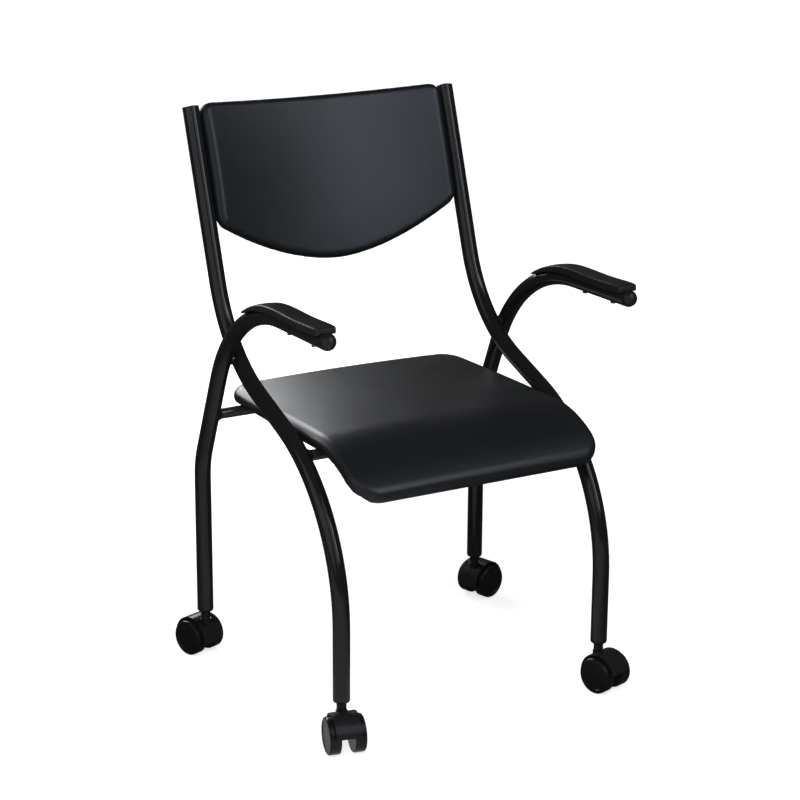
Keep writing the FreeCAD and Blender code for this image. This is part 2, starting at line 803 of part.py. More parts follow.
def castor_wheel(side):
    """Plain disc wheel on one side, with a round outer rim and a stepped face."""
    def at(radius, across):
        return vec(across, 0, radius)

    diagonal = wheel_edge_radius * (1.0 - math.sqrt(0.5))
    face_edge = wheel_face_radius
    bore = axle_radius + axle_clearance
    bore_end = axle_half_length + axle_end_gap
    tread_end = wheel_outer_face - wheel_edge_radius
    face_start = wheel_radius - wheel_edge_radius
    dish = wheel_outer_face - wheel_face_step
    chamfer_foot = wheel_radius - wheel_inner_chamfer
    chamfer_end = wheel_inner_face + wheel_inner_chamfer
    outline = [
        Part.LineSegment(at(bore, wheel_inner_face), at(chamfer_foot, wheel_inner_face)),
        Part.LineSegment(at(chamfer_foot, wheel_inner_face), at(wheel_radius, chamfer_end)),
        Part.LineSegment(at(wheel_radius, chamfer_end), at(wheel_radius, tread_end)),
        Part.Arc(
            at(wheel_radius, tread_end),
            at(wheel_radius - diagonal, wheel_outer_face - diagonal),
            at(face_start, wheel_outer_face)),
        Part.LineSegment(at(face_start, wheel_outer_face), at(face_edge, wheel_outer_face)),
        Part.LineSegment(at(face_edge, wheel_outer_face), at(face_edge - wheel_face_step, dish)),
        Part.LineSegment(at(face_edge - wheel_face_step, dish), at(0, dish)),
        Part.LineSegment(at(0, dish), at(0, bore_end)),
        Part.LineSegment(at(0, bore_end), at(bore, bore_end)),
        Part.LineSegment(at(bore, bore_end), at(bore, wheel_inner_face)),
    ]
    face = Part.Face(Part.Wire([edge.toShape() for edge in outline]))
    wheel = face.revolve(vec(0, 0, 0), vec(1, 0, 0), 360)
    if side < 0:
        wheel = mirrored(wheel)
    wheel.translate(axle_centre)
    return wheel


def at_leg(shape, side, end, swivel):
    """Copy of a castor piece, turned about its stem and set under its leg."""
    piece = shape.copy()
    piece.rotate(vec(0, 0, 0), vec(0, 0, 1), swivel)
    piece.translate(vec(side * (outer_tube_x if end > 0 else inner_tube_x), end * foot_reach, 0))
    return piece


castor_pieces = {
    "castor_stem": castor_stem(),
    "castor_hood": castor_hood(),
    "castor_axle": castor_axle(),
    "castor_wheel_a": castor_wheel(1),
    "castor_wheel_b": castor_wheel(-1),
}
socket = castor_socket()
for place, (side, end, swivel) in castor_places.items():
    save("castor_socket_" + place, at_leg(socket, side, end, 0.0))
    for name, piece in castor_pieces.items():
        save(name + "_" + place, at_leg(piece, side, end, swivel))
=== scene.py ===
"""Finish for the nesting chair: upholstery, coatings, fittings and a plain studio.

Lengths are metres. The chair faces -Y, and +X is the sitter's left.
"""

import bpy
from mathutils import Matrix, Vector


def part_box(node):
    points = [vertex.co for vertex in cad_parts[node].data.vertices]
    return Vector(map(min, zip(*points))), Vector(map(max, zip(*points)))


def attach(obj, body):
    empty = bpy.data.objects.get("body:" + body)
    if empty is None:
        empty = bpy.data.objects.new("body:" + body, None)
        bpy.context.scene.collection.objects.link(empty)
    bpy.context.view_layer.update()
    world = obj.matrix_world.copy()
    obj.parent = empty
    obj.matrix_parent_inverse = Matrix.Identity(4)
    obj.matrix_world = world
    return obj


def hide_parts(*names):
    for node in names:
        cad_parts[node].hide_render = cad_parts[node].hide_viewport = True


bl_info = {
    "name": "Nesting Chair Finish",
    "version": (1, 0, 0),
    "blender": (4, 5, 0),
    "location": "3D View > Sidebar > Chair",
    "description": "Upholstery, coatings, fittings and studio for the nesting chair",
    "category": "Object",
}

import math
from types import SimpleNamespace

import bmesh
import bpy
from bpy.props import FloatProperty, FloatVectorProperty, IntProperty, PointerProperty
from mathutils import Matrix, Vector
from mathutils.bvhtree import BVHTree

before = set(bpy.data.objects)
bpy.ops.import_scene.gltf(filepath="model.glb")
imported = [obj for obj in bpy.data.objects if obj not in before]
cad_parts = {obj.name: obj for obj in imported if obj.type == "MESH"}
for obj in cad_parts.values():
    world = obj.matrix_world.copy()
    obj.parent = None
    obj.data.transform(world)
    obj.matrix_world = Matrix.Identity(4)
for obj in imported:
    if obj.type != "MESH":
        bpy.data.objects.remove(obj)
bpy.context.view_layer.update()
SIDES = ("left", "right")
PLACES = ("front_left", "front_right", "rear_left", "rear_right")
RAIL_TO_BOARD = 0.0003


def node_middle(node):
    """Middle of a CAD node's box."""
    low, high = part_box(node)
    return (Vector(low) + Vector(high)) / 2.0


def node_size(node):
    low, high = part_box(node)
    return Vector(high) - Vector(low)


REAR_RAIL = node_middle("rear_rail")
RAIL_RADIUS = node_size("front_rail").z / 2.0
SEAT_ORIGIN = Vector((0.0, REAR_RAIL.y, REAR_RAIL.z + RAIL_RADIUS + RAIL_TO_BOARD))


# Sizes and colours that a user would change

class SeatSizes(bpy.types.PropertyGroup):
    slope: FloatProperty(
        name="Slope", description="How far the seat falls towards the rear",
        default=math.radians(0.86), subtype="ANGLE")
    rear_overhang: FloatProperty(
        name="Rear overhang", description="Seat behind the rear rail", default=0.0465, unit="LENGTH")
    flat_length: FloatProperty(
        name="Flat length", description="From the rear edge to the rolled front",
        default=0.306, unit="LENGTH")
    front_radius: FloatProperty(
        name="Front radius", description="Underside radius of the rolled front",
        default=0.157, unit="LENGTH")
    front_turn: FloatProperty(
        name="Front turn", description="Angle of the rolled front",
        default=math.radians(48.5), subtype="ANGLE")
    thickness: FloatProperty(
        name="Thickness", description="Pad with its board", default=0.023, unit="LENGTH")
    rear_half_width: FloatProperty(
        name="Rear half width", description="At the rear edge", default=0.201, unit="LENGTH")
    front_half_width: FloatProperty(
        name="Front half width", description="At the front", default=0.2055, unit="LENGTH")
    rear_corner: FloatProperty(
        name="Rear corner", description="Plan radius of the rear corners", default=0.042, unit="LENGTH")
    front_corner: FloatProperty(
        name="Front corner", description="Plan radius of the front corners", default=0.044, unit="LENGTH")
    low_edge: FloatProperty(
        name="Lower edge", description="Radius under the rim", default=0.0075, unit="LENGTH")
    top_edge: FloatProperty(
        name="Upper edge", description="Radius over the rim", default=0.0145, unit="LENGTH")
    crown: FloatProperty(name="Crown", description="Rise of the middle", default=0.003, unit="LENGTH")
    board_inset: FloatProperty(
        name="Board inset", description="Cover margin round the board", default=0.009, unit="LENGTH")


class BackSizes(bpy.types.PropertyGroup):
    lean: FloatProperty(
        name="Lean", description="Lean of the uprights", default=math.radians(18.57), subtype="ANGLE")
    upright_top: FloatVectorProperty(
        name="Upright top", description="Top end of the upright's centre line",
        default=(0.0, 0.2727, 0.8465), size=3, subtype="XYZ", unit="LENGTH")
    half_width: FloatProperty(
        name="Half width", description="Half the width", default=0.2066, unit="LENGTH")
    top: FloatProperty(
        name="Top", description="Top edge above the upright's end", default=0.0045, unit="LENGTH")
    centre_drop: FloatProperty(
        name="Centre drop", description="Lower edge at the middle", default=0.2482, unit="LENGTH")
    side_drop: FloatProperty(
        name="Side drop", description="Lower edge at the sides", default=0.179, unit="LENGTH")
    smile_power: FloatProperty(
        name="Lower edge power", description="Fullness of the lower edge's curve", default=1.8)
    sag: FloatProperty(
        name="Set back", description="Middle behind the sides", default=0.026, unit="LENGTH")
    forward: FloatProperty(
        name="Forward", description="Sides ahead of the uprights' centres", default=0.0044, unit="LENGTH")
    thickness: FloatProperty(
        name="Thickness", description="Pad with its board", default=0.020, unit="LENGTH")
    rear_edge: FloatProperty(
        name="Rear edge", description="Radius behind the rim", default=0.007, unit="LENGTH")
    front_edge: FloatProperty(
        name="Front edge", description="Radius before the rim", default=0.0085, unit="LENGTH")
    side_round: FloatProperty(
        name="Side rounding", description="How far in from the sides the front rounds over",
        default=0.007, unit="LENGTH")
    top_corner: FloatProperty(
        name="Top corner", description="Radius of the top corners", default=0.015, unit="LENGTH")
    low_corner: FloatProperty(
        name="Lower corner", description="Radius of the lower corners", default=0.012, unit="LENGTH")
    crown: FloatProperty(name="Crown", description="Rise of the middle", default=0.003, unit="LENGTH")
    board_inset: FloatProperty(
        name="Board inset", description="Cover margin round the board", default=0.009, unit="LENGTH")


class CushionSizes(bpy.types.PropertyGroup):
    start_inset: FloatProperty(
        name="Start inset", description="How far the pad starts inside its final skin",
        default=0.0022, unit="LENGTH")
    swell: FloatProperty(
        name="Swell", description="How far foam raises the fullest part of the cover",
        default=0.0012, unit="LENGTH")
    evening: IntProperty(
        name="Evening", description="Rounds in which the cover evens out its swelling", default=24)
    voxel: FloatProperty(
        name="Mesh size", description="Size of the pad's faces", default=0.0045, unit="LENGTH")
    pressure: FloatProperty(name="Pressure", description="Push of the foam on the cover", default=4.0)
    frames: IntProperty(name="Frames", description="Steps of the cover's simulation", default=20)
    margin_lift: FloatProperty(
        name="Margin lift", description="How far the hidden underside rises into the board",
        default=0.003, unit="LENGTH")


class Finishes(bpy.types.PropertyGroup):
    vinyl: FloatVectorProperty(
        name="Vinyl", description="Colour of the cover", default=(0.0062, 0.0070, 0.0084),
        size=3, subtype="COLOR")
    coating: FloatVectorProperty(
        name="Coating", description="Colour of the powder coat", default=(0.0048, 0.0050, 0.0055),
        size=3, subtype="COLOR")
    moulding: FloatVectorProperty(
        name="Moulding", description="Colour of the arm pads", default=(0.0065, 0.007, 0.008),
        size=3, subtype="COLOR")
    fitting: FloatVectorProperty(
        name="Fitting", description="Colour of plugs and clips", default=(0.005, 0.005, 0.0055),
        size=3, subtype="COLOR")
    nylon: FloatVectorProperty(
        name="Castor nylon", description="Colour of hoods and wheels", default=(0.0035, 0.0035, 0.0038),
        size=3, subtype="COLOR")
    board: FloatVectorProperty(
        name="Board", description="Colour of the stained boards", default=(0.014, 0.013, 0.012),
        size=3, subtype="COLOR")
    zinc: FloatVectorProperty(
        name="Zinc", description="Colour of the screws", default=(0.55, 0.55, 0.57),
        size=3, subtype="COLOR")
    dust: FloatVectorProperty(
        name="Dust", description="Colour of settled dust", default=(0.10, 0.098, 0.092),
        size=3, subtype="COLOR")


class StudioSizes(bpy.types.PropertyGroup):
    target: FloatVectorProperty(
        name="Target", description="Point at the middle of the picture",
        default=(-0.0137, -0.0007, 0.4334), size=3, subtype="XYZ", unit="LENGTH")
    distance: FloatProperty(
        name="Distance", description="Camera to target", default=3.3336, unit="LENGTH")
    azimuth: FloatProperty(
        name="Azimuth", description="Camera round the chair",
        default=math.radians(-29.782), subtype="ANGLE")
    elevation: FloatProperty(
        name="Elevation", description="Camera above the floor",
        default=math.radians(17.066), subtype="ANGLE")
    roll: FloatProperty(
        name="Roll", description="Camera tilt", default=math.radians(0.371), subtype="ANGLE")
    lens: FloatProperty(name="Lens", description="Focal length on a 36 mm sensor", default=100.98)
    floor_size: FloatProperty(
        name="Floor size", description="Side of the floor", default=30.0, unit="LENGTH")
    shadow_reach: FloatProperty(
        name="Shadow reach", description="Radius within which the floor shows shadows",
        default=1.3, unit="LENGTH")
    floor_glow: FloatProperty(
        name="Floor glow", description="Whiteness that the camera sees added to the lit floor",
        default=0.66)
    ambient: FloatProperty(name="Ambient", description="World light on the chair", default=0.08)
    mirrored: FloatProperty(
        name="Mirrored", description="Brightness of the surround in reflections", default=0.05)
    # Floor pool: painted reflection, a glow on the floor that only reflected rays see, brightest towards
    # the camera.
    pool: FloatProperty(
        name="Floor pool", description="Brightness in reflections of the floor towards the camera",
        default=0.42)
    pool_turn: FloatProperty(
        name="Floor pool turn", description="Where the floor pool lies, from ahead towards the right",
        default=math.radians(40.0), subtype="ANGLE")


def sizes(name):
    """Plain values of one group of sizes."""
    group = getattr(bpy.context.scene.nesting_chair, name)
    values = {}
    for key, entry in group.bl_rna.properties.items():
        if key != "rna_type":
            value = getattr(group, key)
            values[key] = tuple(value) if getattr(entry, "is_array", False) else value
    return SimpleNamespace(**values)


# Meshes

LOW_ARC_STEPS = 6
HIGH_ARC_STEPS = 8
FACE_STEPS = 28
LEAST_RADIUS = 0.0005


def new_piece(name, mesh, body, material):
    """A piece that rides on a body and takes its finish from a slot."""
    piece = bpy.data.objects.new(name, mesh)
    bpy.context.scene.collection.objects.link(piece)
    piece.data.materials.clear()
    piece.data.materials.append(material)
    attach(piece, body)
    return piece


def shade_smooth(mesh):
    mesh.polygons.foreach_set("use_smooth", [True] * len(mesh.polygons))


def skin_between(name, rows):
    """Closed mesh over rows of points, each row a ring of the same count."""
    build = bmesh.new()
    rings = [[build.verts.new(point) for point in row] for row in rows]
    count = len(rings[0])
    for near, far in zip(rings, rings[1:]):
        for i in range(count):
            j = (i + 1) % count
            build.faces.new((near[i], near[j], far[j], far[i]))
    build.faces.new(rings[0][::-1])
    build.faces.new(rings[-1])
    bmesh.ops.recalc_face_normals(build, faces=build.faces)
    mesh = bpy.data.meshes.new(name)
    build.to_mesh(mesh)
    build.free()
    return mesh


def arc_points(centre, radius, start, end, steps):
    """Points in the (u, n) plane along an arc, both ends included."""
    return [
        (centre[0] + radius * math.cos(start + (end - start) * i / steps),
         centre[1] + radius * math.sin(start + (end - start) * i / steps))
        for i in range(steps + 1)]


def pad_ring(middle, across, normal, half_width, low, high, low_radius, high_radius, crown):
    """Ring of points round a cushion's section, counter-clockwise from below."""
    quarter = math.pi / 2.0
    flat = []
    low_arc = (half_width - low_radius, low + low_radius)
    high_arc = (half_width - high_radius, high - high_radius)
    flat += arc_points(low_arc, low_radius, -quarter, 0.0, LOW_ARC_STEPS)
    flat += arc_points(high_arc, high_radius, 0.0, quarter, HIGH_ARC_STEPS)
    for i in range(1, FACE_STEPS):
        share = 1.0 - 2.0 * i / FACE_STEPS
        flat.append((high_arc[0] * share, high + crown * (1.0 - share ** 2)))
    flat += arc_points((-high_arc[0], high_arc[1]), high_radius, quarter, 2 * quarter, HIGH_ARC_STEPS)
    flat += arc_points((-low_arc[0], low_arc[1]), low_radius, 2 * quarter, 3 * quarter, LOW_ARC_STEPS)
    for i in range(1, FACE_STEPS):
        share = -1.0 + 2.0 * i / FACE_STEPS
        flat.append((low_arc[0] * share, low))
    return [middle + across * u + normal * n for u, n in flat]


def rounded_inset(distance, radius):
    """How far a round edge has drawn in at a distance from its end."""
    if distance >= radius:
        return 0.0
    return radius - math.sqrt(max(0.0, radius ** 2 - (radius - distance) ** 2))


def cosine_steps(radius, count):
    """Distances from a round end, crowded towards its tip."""
    return [radius * (1.0 - math.cos(0.5 * math.pi * (i + 0.35) / count)) for i in range(count)]


def seat_place(size, distance):
    """Point on the seat's underside, its forward direction and its upward normal."""
    forward = Vector((0.0, -math.cos(size.slope), math.sin(size.slope)))
    upward = Vector((0.0, math.sin(size.slope), math.cos(size.slope)))
    origin = SEAT_ORIGIN
    if distance <= size.flat_length:
        return origin + forward * (distance - size.rear_overhang), forward, upward
    turn = (distance - size.flat_length) / size.front_radius
    centre = origin + forward * (size.flat_length - size.rear_overhang) - upward * size.front_radius
    normal = upward * math.cos(turn) + forward * math.sin(turn)
    ahead = forward * math.cos(turn) - upward * math.sin(turn)
    return centre + normal * size.front_radius, ahead, normal


def seat_length(size):
    return size.flat_length + size.front_radius * size.front_turn


def seat_half_width(size, distance):
    share = min(1.0, 2.0 * distance / seat_length(size))
    bulge = math.sin(share * math.pi / 2.0)
    return size.rear_half_width + (size.front_half_width - size.rear_half_width) * bulge


def seat_measure(size, point):
    """Where a point lies on the seat: distance from the rear, height, and inset from the rim."""
    start, forward, upward = seat_place(size, size.flat_length)
    offset = Vector((0.0, point.y - start.y, point.z - start.z))
    ahead = offset.dot(forward)
    height = offset.dot(upward)
    distance = size.flat_length + ahead
    if ahead > 0.0:
        turn = math.atan2(ahead, height + size.front_radius)
        distance = size.flat_length + turn * size.front_radius
        height = math.hypot(ahead, height + size.front_radius) - size.front_radius
    side = seat_half_width(size, max(0.0, distance)) - abs(point.x)
    inset = min(side, distance, seat_length(size) - distance)
    return distance, height, inset


SEAT_END_RINGS = 12
SEAT_MIDDLE_RINGS = 40


def seat_rings(size, shrink):
    """Rings of the seat pad's skin, from the rear edge to the front edge."""
    length = seat_length(size)
    rear_radius = size.rear_corner - shrink
    front_radius = size.front_corner - shrink
    rear = [shrink + step for step in cosine_steps(rear_radius, SEAT_END_RINGS)]
    front = [length - shrink - step for step in cosine_steps(front_radius, SEAT_END_RINGS)]
    first = shrink + rear_radius
    last = length - shrink - front_radius
    between = [
        first + (last - first) * i / SEAT_MIDDLE_RINGS for i in range(SEAT_MIDDLE_RINGS + 1)]
    low_radius = size.low_edge - shrink
    high_radius = size.top_edge - shrink
    rings = []
    for distance in rear + between + front[::-1]:
        from_rear = distance - shrink
        from_front = length - shrink - distance
        draw = rounded_inset(from_rear, rear_radius) + rounded_inset(from_front, front_radius)
        from_end = min(from_rear, from_front)
        lift = rounded_inset(from_end, low_radius)
        drop = rounded_inset(from_end, high_radius)
        point, _, normal = seat_place(size, distance)
        rings.append(pad_ring(
            point, Vector((1, 0, 0)), normal, seat_half_width(size, distance) - shrink - draw,
            shrink + lift, size.thickness - shrink - drop,
            max(LEAST_RADIUS, low_radius - lift), max(LEAST_RADIUS, high_radius - drop),
            size.crown * (1.0 - drop / high_radius)))
    return rings


def lean_matrix(size):
    """From the backrest's own frame, leaning with the uprights, to the chair's."""
    return Matrix.Translation(size.upright_top) @ Matrix.Rotation(-size.lean, 4, "X")


def back_bend(size):
    """Radius and centre of the backrest's curve, in its own frame."""
    radius = (size.half_width ** 2 + size.sag ** 2) / (2.0 * size.sag)
    return radius, size.sag - size.forward - radius


def back_place(size, x):
    """Middle of the panel at x and its normal towards the sitter, in its own frame."""
    radius, centre_y = back_bend(size)
    turn = math.asin(max(-1.0, min(1.0, x / radius)))
    point = Vector((x, centre_y + radius * math.cos(turn), 0.0))
    return point, Vector((-math.sin(turn), -math.cos(turn), 0.0))


def back_bottom(size, x):
    smile = min(1.0, abs(x) / size.half_width) ** size.smile_power
    return -(size.centre_drop - (size.centre_drop - size.side_drop) * smile)


def back_measure(size, point):
    """Height off the rear face, and inset from the rim, of a point in the panel's frame."""
    radius, centre_y = back_bend(size)
    reach = math.hypot(point.x, point.y - centre_y)
    height = radius - reach + size.thickness / 2.0
    inset = min(
        size.half_width - abs(point.x), size.top - point.z, point.z - back_bottom(size, point.x))
    return height, inset


BACK_END_ZONE = 0.026
BACK_END_RINGS = 14
BACK_HALF_RINGS = 34


def back_rings(size, shrink):
    """Rings of the backrest's skin, from its right edge to its left edge."""
    half = size.half_width - shrink
    flank = half - BACK_END_ZONE
    ends = [half - step for step in cosine_steps(BACK_END_ZONE, BACK_END_RINGS)]
    between = [flank * i / BACK_HALF_RINGS for i in range(BACK_HALF_RINGS)]
    places = sorted(ends + between + [flank], reverse=True)
    places = [-x for x in places if x > 0.0] + [0.0] + [x for x in places[::-1] if x > 0.0]
    low_radius = size.rear_edge - shrink
    high_radius = size.front_edge - shrink
    rings = []
    for x in places:
        from_side = half - abs(x)
        bottom = back_bottom(size, x) + shrink + rounded_inset(from_side, size.low_corner)
        top = size.top - shrink - rounded_inset(from_side, size.top_corner)
        lift = rounded_inset(from_side, low_radius)
        drop = rounded_inset(from_side, size.side_round) * high_radius / size.side_round
        point, normal = back_place(size, x)
        middle = point + Vector((0.0, 0.0, (top + bottom) / 2.0))
        rings.append(pad_ring(
            middle, Vector((0, 0, 1)), normal, (top - bottom) / 2.0,
            -size.thickness / 2.0 + shrink + lift, size.thickness / 2.0 - shrink - drop,
            max(LEAST_RADIUS, low_radius - lift), max(LEAST_RADIUS, high_radius - drop),
            size.crown * (1.0 - drop / high_radius)))
    return rings


# Padding

EVENING_SMOOTH = 0.5
EVENING_ROUNDS = 3
COVER_STRETCH = 40.0
COVER_BENDING = 6.0
HELD_HEIGHT = 0.006
UNDERSIDE_HEIGHT = 0.007
MARGIN_START = 0.001
MARGIN_RUN = 0.004


def even_mesh(mesh, voxel):
    """The same form in faces of one size."""
    holder = bpy.data.objects.new("even", mesh)
    bpy.context.scene.collection.objects.link(holder)
    remesh = holder.modifiers.new("even", "REMESH")
    remesh.mode = "VOXEL"
    remesh.voxel_size = voxel
    smooth = holder.modifiers.new("smooth", "SMOOTH")
    smooth.factor = EVENING_SMOOTH
    smooth.iterations = EVENING_ROUNDS
    graph = bpy.context.evaluated_depsgraph_get()
    even = bpy.data.meshes.new_from_object(holder.evaluated_get(graph))
    bpy.data.objects.remove(holder)
    skin = BVHTree.FromPolygons(
        [vertex.co for vertex in mesh.vertices], [tuple(face.vertices) for face in mesh.polygons])
    for vertex in even.vertices:
        vertex.co = skin.find_nearest(vertex.co)[0]
    even.update()
    return even


def cover_pushes(mesh, held, padding):
    """How far foam pushes each point of the cover, with the held points fixed to the board."""
    pad = bpy.data.objects.new("cover", mesh)
    bpy.context.scene.collection.objects.link(pad)
    group = pad.vertex_groups.new(name="held")
    group.add([i for i, is_held in enumerate(held) if is_held], 1.0, "REPLACE")
    cloth = pad.modifiers.new("cover", "CLOTH")
    cloth.settings.vertex_group_mass = "held"
    cloth.settings.use_pressure = True
    cloth.settings.uniform_pressure_force = padding.pressure
    cloth.settings.tension_stiffness = COVER_STRETCH
    cloth.settings.compression_stiffness = COVER_STRETCH
    cloth.settings.bending_stiffness = COVER_BENDING
    cloth.settings.effector_weights.gravity = 0.0
    cloth.point_cache.frame_end = padding.frames
    scene = bpy.context.scene
    for step in range(1, padding.frames + 1):
        scene.frame_set(step)
    graph = bpy.context.evaluated_depsgraph_get()
    moved = pad.evaluated_get(graph).to_mesh()
    pushes = [
        (after.co - vertex.co).dot(vertex.normal) for vertex, after in zip(mesh.vertices, moved.vertices)]
    pad.evaluated_get(graph).to_mesh_clear()
    scene.frame_set(1)
    bpy.data.objects.remove(pad)
    return pushes


def evened(mesh, values, rounds):
    """Values averaged with those of their neighbours, round after round."""
    pairs = [tuple(edge.vertices) for edge in mesh.edges]
    counts = [1] * len(values)
    for first, second in pairs:
        counts[first] += 1
        counts[second] += 1
    for _ in range(rounds):
        totals = list(values)
        for first, second in pairs:
            totals[first] += values[second]
            totals[second] += values[first]
        values = [total / count for total, count in zip(totals, counts)]
    return values


def padded_mesh(name, rings, measure, place, padding, board_inset):
    """Cushion mesh: its skin, evened, stretched over the foam, hollowed where the board lies."""
    mesh = even_mesh(skin_between(name, rings), padding.voxel)
    pushes = [0.0] * len(mesh.vertices)
    held = []
    for vertex in mesh.vertices:
        height, inset = measure(vertex.co)
        held.append(height < HELD_HEIGHT and inset > board_inset)
    pushes = evened(mesh, cover_pushes(mesh, held, padding), padding.evening)
    most = max(max(pushes), padding.swell)
    normals = [vertex.normal.copy() for vertex in mesh.vertices]
    for vertex, normal, push in zip(mesh.vertices, normals, pushes):
        fullness = max(0.0, push) / most
        vertex.co += normal * (padding.start_inset + padding.swell * fullness)
    for vertex in mesh.vertices:
        height, inset = measure(vertex.co)
        share = min(1.0, max(0.0, (inset - board_inset + MARGIN_START) / MARGIN_RUN))
        if height < UNDERSIDE_HEIGHT:
            vertex.co += place(vertex.co) * (padding.margin_lift * share)
    shade_smooth(mesh)
    return mesh


def refine(piece):
    modifier = piece.modifiers.new("smooth skin", "SUBSURF")
    modifier.levels = 1
    modifier.render_levels = 1


# Shader groups

def shader_group(name, inputs, outputs):
    """Empty group with named numbers as inputs and outputs."""
    tree = bpy.data.node_groups.new(name, "ShaderNodeTree")
    for socket_name, default in inputs:
        socket = tree.interface.new_socket(name=socket_name, in_out="INPUT", socket_type="NodeSocketFloat")
        socket.default_value = default
    for socket_name in outputs:
        tree.interface.new_socket(name=socket_name, in_out="OUTPUT", socket_type="NodeSocketFloat")
    return tree, tree.nodes.new("NodeGroupInput").outputs, tree.nodes.new("NodeGroupOutput").inputs


def feed(tree, socket, value):
    """Sets a socket to a number or colour, or links it to another node's output."""
    if hasattr(value, "is_output"):
        tree.links.new(value, socket)
    else:
        socket.default_value = value


def node(tree, kind, feeds=None, **settings):
    """Node with its settings, and with numbers, colours or outputs fed to its inputs."""
    made = tree.nodes.new(kind)
    for key, value in settings.items():
        setattr(made, key, value)
    for key, value in (feeds or {}).items():
        feed(tree, made.inputs[key], value)
    return made


def math_node(tree, operation, *values):
    return node(tree, "ShaderNodeMath", dict(enumerate(values)), operation=operation).outputs[0]


def vector_node(tree, operation, feeds):
    return node(tree, "ShaderNodeVectorMath", feeds, operation=operation).outputs


def mapped(tree, value, low, high, to_low=0.0, to_high=1.0, kind="SMOOTHSTEP"):
    """Value carried from one range to another, with soft ends."""
    feeds = {"Value": value, "From Min": low, "From Max": high, "To Min": to_low, "To Max": to_high}
    return node(tree, "ShaderNodeMapRange", feeds, interpolation_type=kind).outputs[0]


def object_place(tree):
    return node(tree, "ShaderNodeTexCoord").outputs["Object"]


def noise_node(tree, scale, detail, roughness, vector=None):
    place = object_place(tree) if vector is None else vector
    feeds = {"Scale": scale, "Detail": detail, "Roughness": roughness, "Vector": place}
    return node(tree, "ShaderNodeTexNoise", feeds).outputs[0]


def pebble_group():
    """Pebbled grain: rounded cells with narrow creases, broken up so no cell repeats."""
    tree, given, result = shader_group(
        "Pebble grain", [("Cells per metre", 900.0), ("Wander", 0.35)], ["Height", "Crease"])
    cells_per_metre = given["Cells per metre"]
    place = object_place(tree)
    stir_scale = math_node(tree, "MULTIPLY", cells_per_metre, 0.6)
    stir = node(tree, "ShaderNodeTexNoise", {"Vector": place, "Scale": stir_scale, "Detail": 1.0})
    centred = vector_node(tree, "SUBTRACT", {0: stir.outputs["Color"], 1: (0.5, 0.5, 0.5)})[0]
    reach = math_node(tree, "DIVIDE", given["Wander"], cells_per_metre)
    wander = vector_node(tree, "SCALE", {0: centred, "Scale": reach})[0]
    moved = vector_node(tree, "ADD", {0: place, 1: wander})[0]
    cells = node(
        tree, "ShaderNodeTexVoronoi", {"Vector": moved, "Scale": cells_per_metre},
        feature="DISTANCE_TO_EDGE")
    dome = mapped(tree, cells.outputs["Distance"], 0.0, 0.28, kind="SMOOTHERSTEP")
    fine = noise_node(tree, math_node(tree, "MULTIPLY", cells_per_metre, 3.0), 2.0, 0.5)
    feed(tree, result["Height"], math_node(tree, "MULTIPLY_ADD", fine, 0.15, dome))
    feed(tree, result["Crease"], math_node(tree, "SUBTRACT", 1.0, dome))


def handling_group():
    """Large soft patches where hands and clothes have changed the sheen, and fine specks."""
    tree, given, result = shader_group(
        "Handling marks", [("Patch scale", 9.0), ("Speck scale", 420.0)], ["Patches", "Specks"])
    patches = noise_node(tree, given["Patch scale"], 5.0, 0.6)
    feed(tree, result["Patches"], mapped(tree, patches, 0.35, 0.70))
    specks = noise_node(tree, given["Speck scale"], 2.0, 0.7)
    feed(tree, result["Specks"], mapped(tree, specks, 0.66, 0.80))


def dust_group():
    """Dust that settles on faces that look up, thicker in patches."""
    tree, given, result = shader_group(
        "Settled dust", [("Amount", 0.2), ("Patch scale", 40.0)], ["Mask"])
    normal = node(tree, "ShaderNodeNewGeometry").outputs["Normal"]
    split = node(tree, "ShaderNodeSeparateXYZ", {0: normal})
    upward = mapped(tree, split.outputs["Z"], 0.2, 0.95)
    cover = noise_node(tree, given["Patch scale"], 6.0, 0.7)
    mask = math_node(tree, "MULTIPLY", upward, cover)
    feed(tree, result["Mask"], math_node(tree, "MULTIPLY", mask, given["Amount"]))


def edge_group():
    """Worn edges: high on corners that stick out, broken up by noise."""
    tree, given, result = shader_group(
        "Edge wear", [("Threshold", 0.53), ("Break scale", 160.0)], ["Mask"])
    point = node(tree, "ShaderNodeNewGeometry").outputs["Pointiness"]
    break_up = math_node(tree, "MULTIPLY", noise_node(tree, given["Break scale"], 4.0, 0.6), 0.05)
    ready = math_node(tree, "ADD", point, break_up)
    full = math_node(tree, "ADD", given["Threshold"], 0.06)
    feed(tree, result["Mask"], mapped(tree, ready, given["Threshold"], full))


GROUP_MAKERS = {
    "Pebble grain": pebble_group,
    "Handling marks": handling_group,
    "Settled dust": dust_group,
    "Edge wear": edge_group,
}


def tinted(colour, factor):
    return tuple(channel * factor for channel in colour)


